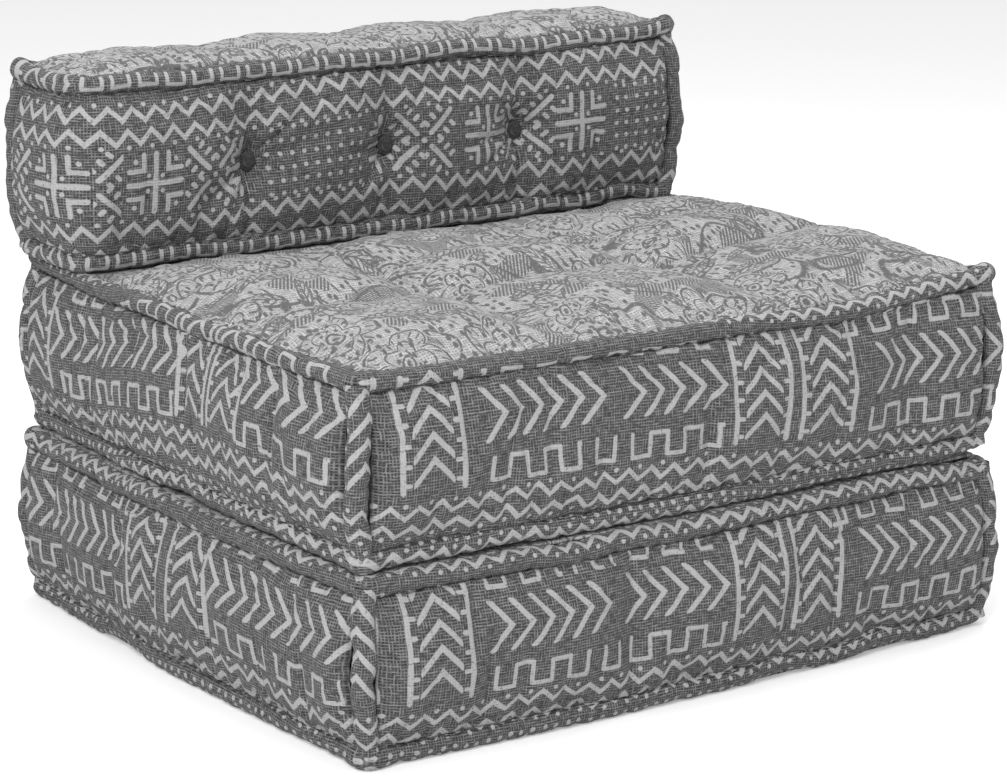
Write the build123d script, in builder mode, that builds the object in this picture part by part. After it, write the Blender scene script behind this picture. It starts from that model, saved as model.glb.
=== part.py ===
"""Modular floor sofa: two tufted seat cushions in a stack, and a back cushion standing along their rear edge."""

import os
from dataclasses import dataclass
from math import cos, radians, sin, sqrt

from build123d import *

os.makedirs("parts", exist_ok=True)

# Seat cushions: from corner to corner, and over their rolled edges
seat_width = 670
seat_depth = 582
seat_height = 164
seat_roll_radius = 10
seat_wadding = 10

# Back cushion: as long as the seats and flush with their rear edge
back_thickness = 121
back_height = 178
back_roll_radius = 9
back_wadding = 17

# Outward bow of a stuffed side, as a share of its length
lower_bow_share = 0.022
upper_bow_share = 0.012
back_bow_share = 0.006

# Gaps between sewn pieces, between cushions, and round the foot of the back cushion
seam_gap = 0.3
cushion_gap = 0.3
nest_gap = 2

# Rolled edges: short flats over the outside, and a pinch inside as a share of the radius
roll_pinch_share = 0.6
roll_flats = 8
roll_half_turn = 80
corner_roll_radius = 9
corner_roll_side_count = 10

# Corners of the panels, and of the back cushion where its cloth runs round without a roll
panel_corner = 3
soft_corner = 12

# Side bands: how far the cloth lies inside the roll at its seam, and how far it swells from there
band_edge_inset = 4
band_swell = 9
band_flats = 6

# Pillows of the upper seat: their crest over the rolls, and how far they dip at tufts and at edges
seat_crest = 15
seat_valley = 8
seat_edge_drop = 10
panel_lean = 8

# Pillows along the top of the back cushion
back_top_crest = 6
back_top_valley = 3
back_top_edge_drop = 5

# Tufts of the seat cushions: half the pitch of their rows, how far those lie off the middle, as they were
# tied by hand, and the panel left under a button
seat_tuft_x = 115
seat_tuft_y = 60
seat_tuft_shift_x = -17
seat_tuft_shift_y = -20
seat_tuft_floor = 5
seat_mouth_radius = 34
flat_tuft_floor = 3
flat_mouth_radius = 16

# Tufts of the back cushion: the pitch of its row of three, how far that lies off the middle, and their pits
back_tuft_x = 150
back_tuft_shift = -10
back_tuft_floor = 8
back_mouth_radius = 46

# Covered buttons, and the twine that ties each pair through the filling
button_radius = 8
button_rim = 2
button_dome = 3
tuft_side_count = 10
twine_radius = 1.5
twine_side_count = 6

# Where a pillow's height is set, as shares of the way across it
pillow_shares = (0.25, 0.5, 0.75, 1)

# How far cutting shapes run past what they cut
overrun = 50

CORNERS = {"front_left": (-1, -1), "front_right": (1, -1), "rear_right": (1, 1), "rear_left": (-1, 1)}


@dataclass
class Cushion:
    """A stuffed block: a panel above and below, bands round its sides, and rolls along its edges."""

    name: str
    width: float
    depth: float
    height: float
    base: float
    centre_y: float
    roll_radius: float
    wadding: float
    bow_share: float
    band_corner: float
    rolled_corners: tuple

    def __post_init__(self):
        self.top = self.base + self.height
        self.low_roll = self.base + self.roll_radius
        self.high_roll = self.top - self.roll_radius
        self.low_band = self.low_roll + self.roll_radius + seam_gap
        self.high_band = self.high_roll - self.roll_radius - seam_gap
        self.panel_inset = self.roll_radius * (1 + roll_pinch_share) + seam_gap
        self.upward = Plane((0, self.centre_y, self.high_roll))
        self.downward = Plane((0, self.centre_y, self.low_roll), x_dir=(1, 0, 0), z_dir=(0, 0, -1))

    def facing(self, hand):
        """Plane at the inside of the front (-1) or rear (1) wadding, at half height and facing out."""
        origin = (0, self.centre_y + hand * (self.depth / 2 - self.wadding), self.base + self.height / 2)
        return Plane(origin, x_dir=(-hand, 0, 0), z_dir=(0, hand, 0))


lower = Cushion(
    name="lower",
    width=seat_width,
    depth=seat_depth,
    height=seat_height,
    base=0,
    centre_y=0,
    roll_radius=seat_roll_radius,
    wadding=seat_wadding,
    bow_share=lower_bow_share,
    band_corner=0,
    rolled_corners=tuple(CORNERS),
)
upper = Cushion(
    name="upper",
    width=seat_width,
    depth=seat_depth,
    height=seat_height,
    base=lower.top + cushion_gap,
    centre_y=0,
    roll_radius=seat_roll_radius,
    wadding=seat_wadding,
    bow_share=upper_bow_share,
    band_corner=0,
    rolled_corners=tuple(CORNERS),
)
back = Cushion(
    name="back",
    width=seat_width,
    depth=back_thickness,
    height=back_height,
    base=upper.top + cushion_gap,
    centre_y=(seat_depth - back_thickness) / 2,
    roll_radius=back_roll_radius,
    wadding=back_wadding,
    bow_share=back_bow_share,
    band_corner=soft_corner,
    rolled_corners=("front_right", "rear_left"),
)

seat_columns = (seat_tuft_shift_x - seat_tuft_x, seat_tuft_shift_x + seat_tuft_x)
seat_rows = (seat_tuft_shift_y - seat_tuft_y, seat_tuft_shift_y + seat_tuft_y)
seat_tufts = [Vector(x, y, 0) for x in seat_columns for y in seat_rows]
back_columns = (back_tuft_shift - back_tuft_x, back_tuft_shift, back_tuft_shift + back_tuft_x)
back_tufts = [Vector(x, back.centre_y, back.base + back.height / 2) for x in back_columns]


def finish(part, name):
    """Name a piece and write it."""
    part.label = name
    export_step(part, f"parts/{name}.step")


def outline(cushion, inset, level, corner=0):
    """Plan of a cushion at a height: four bowed sides, drawn in by an inset, with any corners cut."""
    x = cushion.width / 2 - inset
    y = cushion.depth / 2 - inset
    front_bow = cushion.width * cushion.bow_share
    side_bow = cushion.depth * cushion.bow_share
    with BuildSketch(Plane((0, cushion.centre_y, level))) as plan:
        with BuildLine():
            ThreePointArc((-x, -y), (0, -y - front_bow), (x, -y))
            ThreePointArc((x, -y), (x + side_bow, 0), (x, y))
            ThreePointArc((x, y), (0, y + front_bow), (-x, y))
            ThreePointArc((-x, y), (-x - side_bow, 0), (-x, -y))
        make_face()
        if corner:
            chamfer(plan.vertices(), corner)
    return plan.sketch


def rolled_edge(cushion, level):
    """Stuffed roll right round a cushion, with its seam inside and its corners drawn out to a point."""
    radius = cushion.roll_radius
    reach = radius * cos(radians(roll_half_turn))
    outer = []
    for flat in range(roll_flats + 1):
        angle = radians(roll_half_turn * (2 * flat / roll_flats - 1))
        height = radius * sin(angle) / sin(radians(roll_half_turn))
        outer.append(outline(cushion, radius - radius * cos(angle), level + height))
    inner = [
        outline(cushion, radius + reach, level - radius),
        outline(cushion, radius * (1 + roll_pinch_share), level),
        outline(cushion, radius + reach, level + radius),
    ]
    with BuildPart() as roll:
        loft(outer, ruled=True)
        loft(inner, ruled=True, mode=Mode.SUBTRACT)
    return roll.part


def corner_places(cushion, inset):
    """Places of a cushion's rolled corners, drawn in by an inset."""
    x = cushion.width / 2 - inset
    y = cushion.depth / 2 - inset
    return [(x * CORNERS[corner][0], y * CORNERS[corner][1]) for corner in cushion.rolled_corners]


def corner_rolls(cushion):
    """Upright rolls between the upper and the lower roll, where two bands are sewn together."""
    with BuildPart() as rolls:
        with BuildSketch(Plane((0, cushion.centre_y, cushion.low_band))):
            with Locations(*corner_places(cushion, cushion.roll_radius)):
                RegularPolygon(corner_roll_radius, corner_roll_side_count)
        extrude(amount=cushion.high_band - cushion.low_band)
    return rolls.part


def swelling_bands(cushion):
    """Cloth and wadding round a cushion between its rolls, swelling at half height and open at corner rolls."""
    height = cushion.high_band - cushion.low_band
    roll_room = 2 * (cushion.roll_radius + corner_roll_radius + seam_gap)
    outer = []
    for flat in range(band_flats + 1):
        level_share = flat / band_flats
        swell = band_swell * 4 * level_share * (1 - level_share)
        level = cushion.low_band + height * level_share
        outer.append(outline(cushion, band_edge_inset - swell, level, cushion.band_corner))
    inside = outline(cushion, cushion.wadding, cushion.low_band)
    with BuildPart() as bands:
        loft(outer, ruled=True)
        extrude(inside, amount=height, mode=Mode.SUBTRACT)
        with BuildSketch(Plane((0, cushion.centre_y, cushion.low_band))):
            with Locations(*corner_places(cushion, 0)):
                Rectangle(roll_room, roll_room)
        extrude(amount=height, mode=Mode.SUBTRACT)
    return bands.part


def pillow_stations(half_span, tufts, valley, edge_drop):
    """Places along a row of pillows, each with its drop below the crests."""
    dips = [(-half_span, edge_drop), *[(tuft, valley) for tuft in tufts], (half_span, edge_drop)]
    stations = [dips[0]]
    for (start, start_drop), (end, end_drop) in zip(dips, dips[1:]):
        for share in pillow_shares:
            drop = start_drop * max(0, 1 - 2 * share) ** 2 + end_drop * max(0, 2 * share - 1) ** 2
            stations.append((start + (end - start) * share, drop))
    return stations


def pillowed_block(frame, half_length, half_width, columns, rows, height, valley, edge_drop):
    """Block on a frame, its outer face a field of pillows that dips at the lines of tufts and at the edges."""
    dips = [(-half_width, edge_drop), *[(row, valley) for row in rows], (half_width, edge_drop)]
    sections = []
    for x, drop in pillow_stations(half_length, columns, valley, edge_drop):
        crest = height - drop
        origin = frame.from_local_coords((x, 0, 0))
        with BuildSketch(Plane(origin, x_dir=frame.y_dir, z_dir=frame.x_dir)) as section:
            with BuildLine():
                Polyline((-half_width, crest - edge_drop), (-half_width, 0))
                Line((-half_width, 0), (half_width, 0))
                Line((half_width, 0), (half_width, crest - edge_drop))
                for (start, start_drop), (end, end_drop) in zip(dips, dips[1:]):
                    middle = ((start + end) / 2, crest)
                    ThreePointArc((start, crest - start_drop), middle, (end, crest - end_drop))
            make_face()
        sections.append(section.sketch)
    with BuildPart() as block:
        loft(sections, ruled=True)
    return block.part


def places_on(frame, tufts):
    """Where tufts lie on the plane of a face."""
    seen = [frame.to_local_coords(tuft) for tuft in tufts]
    return [(place.X, place.Y) for place in seen]


def tuft_pits(frame, tufts, floor, mouth_radius, mouth_level):
    """Room for a face's tufts: a funnel down to each button's floor, and a hole on through for the twine."""
    slope_width = mouth_radius - button_radius - seam_gap
    with BuildPart() as pits:
        for place in places_on(frame, tufts):
            with BuildSketch(frame.offset(floor)):
                with Locations(place):
                    RegularPolygon(mouth_radius, tuft_side_count, major_radius=False)
            extrude(amount=mouth_level - floor + overrun)
            low_end = pits.faces(Select.LAST).sort_by(Axis(frame.origin, frame.z_dir))[0]
            chamfer(low_end.edges(), slope_width, mouth_level - floor, reference=low_end)
        with BuildSketch(frame.offset(-overrun)):
            with Locations(*places_on(frame, tufts)):
                RegularPolygon(twine_radius + seam_gap, twine_side_count, major_radius=False)
        extrude(amount=2 * overrun)
    return pits.part


def flat_panel(cushion, frame, tufts):
    """Panel pressed flat between the rolls, where the cushion lies on the floor or against another."""
    plan = outline(cushion, cushion.panel_inset, frame.origin.Z, panel_corner)
    with BuildPart() as panel:
        extrude(plan, amount=cushion.roll_radius * frame.z_dir.Z)
        if tufts:
            pits = tuft_pits(frame, tufts, flat_tuft_floor, flat_mouth_radius, cushion.roll_radius)
            add(pits, mode=Mode.SUBTRACT)
    return panel.part


def pillowed_panel(cushion, crest, valley, edge_drop, columns, rows):
    """Panel stuffed proud of the rolls round it, its sides leaning in from the seam."""
    height = cushion.roll_radius + crest
    half_length = cushion.width / 2 - cushion.panel_inset + cushion.depth * cushion.bow_share
    half_width = cushion.depth / 2 - cushion.panel_inset + cushion.width * cushion.bow_share
    sides = [
        outline(cushion, cushion.panel_inset, cushion.high_roll, panel_corner),
        outline(cushion, cushion.panel_inset + panel_lean, cushion.high_roll + height, panel_corner),
    ]
    pillows = pillowed_block(
        cushion.upward, half_length, half_width, columns, rows, height, valley, edge_drop
    )
    with BuildPart() as panel:
        loft(sides, ruled=True)
        add(pillows, mode=Mode.INTERSECT)
    return panel.part


def filling(cushion, frame, tufts):
    """Stuffing inside the panels, bands and rolls, pierced for the twine."""
    band_inset = cushion.wadding + seam_gap
    roll_inset = cushion.roll_radius * (1 + cos(radians(roll_half_turn))) + seam_gap
    corner = (corner_roll_radius + 2 * seam_gap) * sqrt(2) * (1 + 4 * cushion.bow_share)
    outlines = [
        outline(cushion, cushion.panel_inset, cushion.low_roll + seam_gap, corner),
        outline(cushion, roll_inset, cushion.low_band - seam_gap, corner),
        outline(cushion, band_inset, cushion.low_band, corner),
        outline(cushion, band_inset, cushion.high_band, corner),
        outline(cushion, roll_inset, cushion.high_band + seam_gap, corner),
        outline(cushion, cushion.panel_inset, cushion.high_roll - seam_gap, corner),
    ]
    span = 2 * (cushion.width + cushion.depth + cushion.height)
    with BuildPart() as stuffing:
        loft(outlines, ruled=True)
        with BuildSketch(frame.offset(-span / 2)):
            with Locations(*places_on(frame, tufts)):
                RegularPolygon(twine_radius + seam_gap, twine_side_count, major_radius=False)
        extrude(amount=span, mode=Mode.SUBTRACT)
    return stuffing.part


def covered_buttons(frame, tufts, floor):
    """Cloth-covered buttons, pulled down into the tufts."""
    with BuildPart() as buttons:
        with BuildSketch(frame.offset(floor)):
            with Locations(*places_on(frame, tufts)):
                RegularPolygon(button_radius, tuft_side_count, major_radius=False)
        extrude(amount=button_rim + button_dome)
        faces = buttons.faces().sort_by(Axis(frame.origin, frame.z_dir))[-len(tufts):]
        chamfer(faces.edges(), button_dome)
    return buttons.part


def tufting_twine(frame, tufts, low, high):
    """Twine from the underside of one button to that of its pair."""
    with BuildPart() as twine:
        with BuildSketch(frame.offset(low)):
            with Locations(*places_on(frame, tufts)):
                RegularPolygon(twine_radius, twine_side_count, major_radius=False)
        extrude(amount=high - low)
    return twine.part


# Rolls round the edges of all three cushions, and up their corners
for cushion in (lower, upper, back):
    finish(rolled_edge(cushion, cushion.high_roll), f"{cushion.name}_top_roll")
    finish(rolled_edge(cushion, cushion.low_roll), f"{cushion.name}_bottom_roll")
    finish(corner_rolls(cushion), f"{cushion.name}_corner_rolls")

# Seat cushions: a band on each side, sewn to the corner rolls
for cushion in (lower, upper):
    strips = swelling_bands(cushion).solids()
    sides = {
        "front": strips.sort_by(Axis.Y)[0],
        "rear": strips.sort_by(Axis.Y)[-1],
        "left": strips.sort_by(Axis.X)[0],
        "right": strips.sort_by(Axis.X)[-1],
    }
    for side, strip in sides.items():
        with BuildPart() as band:
            add(strip)
        finish(band.part, f"{cushion.name}_{side}_band")

# Back cushion: one strip round the front and left end, one round the rear and right end, with their tufts
back_mouth_level = back_wadding + band_swell - band_edge_inset + seat_width * back_bow_share
back_strips = swelling_bands(back).solids().sort_by(Axis.Y)
for strip, hand, name in ((back_strips[0], -1, "front_and_left"), (back_strips[-1], 1, "rear_and_right")):
    with BuildPart() as band:
        add(strip)
        pits = tuft_pits(back.facing(hand), back_tufts, back_tuft_floor, back_mouth_radius, back_mouth_level)
        add(pits, mode=Mode.SUBTRACT)
    finish(band.part, f"back_{name}_band")

# Panels, those between cushions or on the floor pressed flat
finish(flat_panel(lower, lower.upward, seat_tufts), "lower_top_panel")
finish(flat_panel(lower, lower.downward, seat_tufts), "lower_bottom_panel")
finish(flat_panel(upper, upper.downward, seat_tufts), "upper_bottom_panel")
finish(flat_panel(back, back.downward, []), "back_bottom_panel")

# Top panel of the seat: three pillows by three, hollowed under the back cushion's foot
seat_mouth_level = upper.roll_radius + seat_crest
with BuildPart() as upper_top_panel:
    add(
        pillowed_panel(
            upper,
            seat_crest,
            seat_valley,
            seat_edge_drop,
            columns=seat_columns,
            rows=seat_rows,
        )
    )
    add(
        tuft_pits(upper.upward, seat_tufts, seat_tuft_floor, seat_mouth_radius, seat_mouth_level),
        mode=Mode.SUBTRACT,
    )
    extrude(outline(back, -nest_gap, upper.top), amount=overrun, mode=Mode.SUBTRACT)
finish(upper_top_panel.part, "upper_top_panel")

# Top panel of the back cushion: one row of pillows over its tufts
with BuildPart() as back_top_panel:
    add(
        pillowed_panel(
            back,
            back_top_crest,
            back_top_valley,
            back_top_edge_drop,
            columns=back_columns,
            rows=(),
        )
    )
finish(back_top_panel.part, "back_top_panel")

# Inside the seat cushions: filling, and the twine between their buttons
for cushion, top_floor in ((lower, flat_tuft_floor), (upper, seat_tuft_floor)):
    thickness = cushion.high_roll - cushion.low_roll
    finish(filling(cushion, cushion.upward, seat_tufts), f"{cushion.name}_filling")
    finish(covered_buttons(cushion.upward, seat_tufts, top_floor), f"{cushion.name}_top_buttons")
    finish(covered_buttons(cushion.downward, seat_tufts, flat_tuft_floor), f"{cushion.name}_bottom_buttons")
    twine = tufting_twine(cushion.upward, seat_tufts, -thickness - flat_tuft_floor, top_floor)
    finish(twine, f"{cushion.name}_tuft_twine")

# Inside the back cushion: the same, from front to rear
front = back.facing(-1)
back_span = back.depth - 2 * back.wadding
finish(filling(back, front, back_tufts), "back_filling")
finish(covered_buttons(front, back_tufts, back_tuft_floor), "back_front_buttons")
finish(covered_buttons(back.facing(1), back_tufts, back_tuft_floor), "back_rear_buttons")
finish(tufting_twine(front, back_tufts, -back_span - back_tuft_floor, back_tuft_floor), "back_tuft_twine")
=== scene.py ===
"""Modular floor sofa: two tufted seat cushions in a stack and a back cushion, in printed charcoal cotton."""

import math

import bpy
import numpy as np
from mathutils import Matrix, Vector


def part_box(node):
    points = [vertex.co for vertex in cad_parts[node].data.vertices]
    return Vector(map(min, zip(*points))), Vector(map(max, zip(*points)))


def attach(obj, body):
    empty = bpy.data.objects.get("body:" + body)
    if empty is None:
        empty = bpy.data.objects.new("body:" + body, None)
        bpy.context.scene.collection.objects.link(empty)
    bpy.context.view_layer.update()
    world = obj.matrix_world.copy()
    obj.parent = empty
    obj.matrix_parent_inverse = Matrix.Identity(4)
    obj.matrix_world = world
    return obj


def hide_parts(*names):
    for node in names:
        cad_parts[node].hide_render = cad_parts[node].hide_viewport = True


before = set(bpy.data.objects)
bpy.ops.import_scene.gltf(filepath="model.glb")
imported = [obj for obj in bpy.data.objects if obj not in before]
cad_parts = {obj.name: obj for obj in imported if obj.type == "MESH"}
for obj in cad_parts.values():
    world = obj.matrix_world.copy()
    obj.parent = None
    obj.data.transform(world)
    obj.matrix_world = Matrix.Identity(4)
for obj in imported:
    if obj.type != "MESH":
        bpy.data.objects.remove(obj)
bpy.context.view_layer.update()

# Camera and studio
# A long lens from the front left, a little above the seat, as the sofa is shown in a catalogue.
# The floor and the room are white, and one wide lamp stands high in front of the sofa.
eye = Vector((-1.6703, -2.4052, 0.9423))
sight = Vector((0.5539, 0.7965, -0.2426))
lens_mm = 117.5

camera = bpy.data.objects.new("camera", bpy.data.cameras.new("camera"))
camera.data.lens = lens_mm
camera.data.sensor_width = 36
camera.location = eye
camera.rotation_euler = sight.to_track_quat("-Z", "Y").to_euler()
bpy.context.scene.collection.objects.link(camera)
bpy.context.scene.camera = camera
bpy.context.scene.view_settings.view_transform = "Standard"

room = bpy.data.worlds.new("room")
room.use_nodes = True
room.node_tree.nodes["Background"].inputs["Color"].default_value = (1, 1, 1, 1)
room.node_tree.nodes["Background"].inputs["Strength"].default_value = 0.56
bpy.context.scene.world = room


def lamp(name, place, aim, size, power):
    """Square soft lamp at a place, facing a point."""
    data = bpy.data.lights.new(name, "AREA")
    data.size = size
    data.energy = power
    light = bpy.data.objects.new(name, data)
    light.location = place
    light.rotation_euler = (Vector(aim) - Vector(place)).to_track_quat("-Z", "Y").to_euler()
    bpy.context.scene.collection.objects.link(light)


lamp("key_lamp", (-2.3, -1.9, 2.5), (0, 0, 0.25), 1.5, 74)
lamp("top_lamp", (0.6, 0.4, 3.0), (0, 0, 0.3), 2.2, 40)


def wire(tree, kind, sources=(), values=(), **settings):
    """Node of a tree with its settings, its constant values and what feeds it, each by its socket."""
    node = tree.nodes.new(kind)
    for name, value in settings.items():
        setattr(node, name, value)
    for socket, value in dict(values).items():
        node.inputs[socket].default_value = value
    for socket, source in dict(sources).items():
        tree.links.new(source, node.inputs[socket])
    return node


def new_material(name, values):
    """New material with constant values on its shader, as the material, its tree and its shader."""
    material = bpy.data.materials.new(name)
    material.use_nodes = True
    shader = material.node_tree.nodes["Principled BSDF"]
    for socket, value in values.items():
        shader.inputs[socket].default_value = value
    return material, material.node_tree, shader


floor_reach = 14
floor_mesh = bpy.data.meshes.new("floor")
floor_corners = [(x * floor_reach, y * floor_reach, 0) for x, y in ((-1, -1), (1, -1), (1, 1), (-1, 1))]
floor_mesh.from_pydata(floor_corners, [], [(0, 1, 2, 3)])
floor = bpy.data.objects.new("floor", floor_mesh)
bpy.context.scene.collection.objects.link(floor)
floor_white, floor_tree, matt = new_material(
    "floor_white", {"Base Color": (0.9, 0.9, 0.9, 1), "Roughness": 0.9, "Specular IOR Level": 0}
)
glow = wire(floor_tree, "ShaderNodeEmission", values={"Strength": 0.3})
seen = wire(floor_tree, "ShaderNodeLightPath").outputs["Is Camera Ray"]
lit = wire(floor_tree, "ShaderNodeAddShader", {0: matt.outputs[0], 1: glow.outputs[0]})
switch = wire(floor_tree, "ShaderNodeMixShader", {0: seen, 1: matt.outputs[0], 2: lit.outputs[0]})
floor_tree.links.new(switch.outputs[0], floor_tree.nodes["Material Output"].inputs["Surface"])
floor_mesh.materials.append(floor_white)

# Printed side cloth
# Coarse slubby charcoal cotton, block-printed in pale grey with zigzags, chevrons, crosses and dots.
# A cloth's print map holds metres on the cloth: u along the strip, and v up or down from the print's middle row.
mm = 0.001
thread_light = 0.29
thread_dark = 0.006
print_grey = 0.50
thread_pitch = 2.5 * mm
thread_shake = 1.3 * mm
weave_contrast = 1.4
weave_depth = 0.7 * mm
ink_edge = 0.9 * mm


class Ink:
    """A number that varies over the cloth, with the sums that a print is drawn with."""

    def __init__(self, tree, socket):
        self.tree = tree
        self.socket = socket

    def math(self, operation, *others):
        drawn = {slot: other.socket for slot, other in enumerate(others, 1) if isinstance(other, Ink)}
        plain = {slot: other for slot, other in enumerate(others, 1) if slot not in drawn}
        node = wire(self.tree, "ShaderNodeMath", {0: self.socket, **drawn}, plain, operation=operation)
        return Ink(self.tree, node.outputs[0])

    def __add__(self, other):
        return self.math("ADD", other)

    def __sub__(self, other):
        return self.math("SUBTRACT", other)

    def __mul__(self, other):
        return self.math("MULTIPLY", other)

    def __abs__(self):
        return self.math("ABSOLUTE")

    def least(self, other):
        return self.math("MINIMUM", other)

    def most(self, other):
        return self.math("MAXIMUM", other)

    def past(self, start):
        """How far the number is past a start, and 0 before it."""
        return (self - start).most(0.0)

    def span(self, other):
        """Length of the step that two numbers make at right angles."""
        return (self * self + other * other).math("SQRT")

    def near(self, pitch, phase=0.0):
        """Distance from the nearest repeat of a phase."""
        return abs((self + (pitch / 2 - phase)).math("FLOORED_MODULO", pitch) - pitch / 2)

    def spread(self, low, high, ends=(0, 1), curve="LINEAR"):
        """The number spread from a low and a high to two ends, and kept between them."""
        values = {"From Min": low, "From Max": high, "To Min": ends[0], "To Max": ends[1]}
        node = wire(self.tree, "ShaderNodeMapRange", {"Value": self.socket}, values, interpolation_type=curve)
        return Ink(self.tree, node.outputs["Result"])

    def within(self, reach, edge=ink_edge):
        """1 where the number is under a reach, falling to 0 over a soft edge."""
        return self.spread(reach - edge / 2, reach + edge / 2, (1, 0), "SMOOTHSTEP")

    def inside(self, windows, edge=ink_edge):
        """1 inside any of some windows, each a start and an end."""
        shown = None
        for start, end in windows:
            window = abs(self - (start + end) / 2).within((end - start) / 2, edge)
            shown = window if shown is None else shown.most(window)
        return shown

    def nearest(self, centres):
        """Distance from the nearest of some centres."""
        away = None
        for centre in centres:
            distance = abs(self - centre)
            away = distance if away is None else away.least(distance)
        return away


def most_of(*layers):
    """All the layers of a print laid over each other."""
    drawn = layers[0]
    for layer in layers[1:]:
        drawn = drawn.most(layer)
    return drawn


def zigzag(u, v, middle, pitch, rise, width):
    """Zigzag line about a middle level."""
    line = u.near(pitch) * (2 * rise / pitch) + (middle - rise / 2)
    slope = math.cos(math.atan2(2 * rise, pitch))
    return (abs(v - line) * slope).within(width / 2)


def dot_row(u, v, level, pitch, radius, phase=0.0):
    """Row of round dots."""
    return u.near(pitch, phase).span(v - level).within(radius)


def dotted_zigzag(u, v, middle, above, below, rise=9.5 * mm, width=3.9 * mm, pitch=23.4 * mm):
    """Zigzag with a dot in each valley above it, under each peak, or both."""
    drawn = zigzag(u, v, middle, pitch, rise, width)
    if above:
        drawn = drawn.most(dot_row(u, v, middle + rise * 0.72, pitch, 2.1 * mm))
    if below:
        drawn = drawn.most(dot_row(u, v, middle - rise * 0.72, pitch, 2.1 * mm, pitch / 2))
    return drawn


def chevrons(u, v, windows):
    """Groups of chevrons that point along the strip, their arms cut to a round end."""
    arm = abs(v)
    slide = u + arm * 0.95
    stroke = (slide.near(20.4 * mm, 141 * mm) * 0.725).span(arm.past(19 * mm)).within(2.3 * mm)
    return stroke.least(slide.inside(windows))


def teeth(u, v, middle, rise, pitch, phase, windows, width=3.9 * mm):
    """Meander of square teeth that breaks off between windows."""
    tall = abs(v - middle)
    uprights = u.near(pitch / 2, phase).span(tall.past(rise / 2)).within(width / 2)
    half = u.near(pitch, phase + pitch / 4)
    low_bars = half.past(pitch / 4).span(v - (middle - rise / 2)).within(width / 2)
    high_bars = u.near(pitch, phase + pitch * 0.75).past(pitch / 4).span(v - (middle + rise / 2)).within(width / 2)
    return most_of(uprights, low_bars, high_bars).least(u.inside(windows))


def ladders(u, v, centres):
    """Upright columns: a ticked line on each side, and a stack of arrowheads between."""
    away = u.nearest(centres)
    tall = abs(v + 2 * mm).past(50 * mm)
    rails = abs(away - 28 * mm).span(tall).within(2.4 * mm)
    ticks = abs(away - 23.5 * mm).past(1.5 * mm).span(v.near(15.5 * mm)).within(1.9 * mm).least(tall.within(0.5 * mm))
    slide = v + away
    heads = (slide.near(19.5 * mm, 11 * mm) * 0.707).span(away.past(17 * mm)).within(2.3 * mm)
    heads = heads.least(slide.inside([(-38 * mm, 60 * mm)])).least(away.within(22 * mm))
    return most_of(rails, ticks, heads)


def crosses(u, v, middle, centres):
    """Crosses with an angle and two dots in each corner."""
    away = u.nearest(centres)
    tall = abs(v - middle)
    arms = away.span(tall.past(26 * mm)).within(2.5 * mm).most(tall.span(away.past(26 * mm)).within(2.5 * mm))
    beyond = tall.most(away).past(26 * mm)
    angle = (tall.least(away) - 12.5 * mm).math("ABSOLUTE").span(beyond).within(2.3 * mm)
    inner = (away - 7 * mm).span(tall - 7 * mm).within(2.1 * mm)
    outer = (away - 20.5 * mm).span(tall - 20.5 * mm).within(2.3 * mm)
    return most_of(arms, angle, inner, outer)


def saltires(u, v, middle, centres):
    """Diagonal crosses round a dot, with short dashes on both sides of each arm."""
    away = u.nearest(centres)
    tall = abs(v - middle)
    gap = abs(away - tall)
    along = away + tall
    arms = (gap * 0.707).span(abs(along - 33 * mm).past(20 * mm) * 0.707).within(2.4 * mm)
    dashes = (abs(gap - 14 * mm).past(2.5 * mm) * 0.707).span(along.near(13 * mm, 4 * mm) * 0.707).within(2.1 * mm)
    dashes = dashes.least(abs(along - 32 * mm).within(19 * mm))
    return most_of(arms, dashes, away.span(tall).within(2.6 * mm))


def dot_patch(u, v, middle, windows):
    """Patches of small dots in rows."""
    dots = u.near(11.4 * mm, windows[0][0] + 5 * mm).span(v.near(12 * mm, middle)).within(2.1 * mm)
    return dots.least(u.inside(windows)).least(abs(v).within(33 * mm))


def print_map(tree):
    """The piece's own map of the cloth, in metres."""
    return wire(tree, "ShaderNodeUVMap", uv_map="Print").outputs["UV"]


def noise(tree, vector, scale, detail=2.0, stretch=(1, 1, 1), shift=(0, 0, 0), output="Fac"):
    """Smooth noise over the cloth, stretched along it."""
    placed = wire(tree, "ShaderNodeMapping", {0: vector}, {"Scale": stretch, "Location": shift}).outputs[0]
    grain = wire(tree, "ShaderNodeTexNoise", {"Vector": placed}, {"Scale": scale, "Detail": detail})
    return Ink(tree, grain.outputs[output])


def parts_of(vector):
    """The three parts of a vector or colour."""
    node = wire(vector.tree, "ShaderNodeSeparateXYZ", {0: vector.socket})
    return [Ink(vector.tree, node.outputs[part]) for part in "XYZ"]


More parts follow.
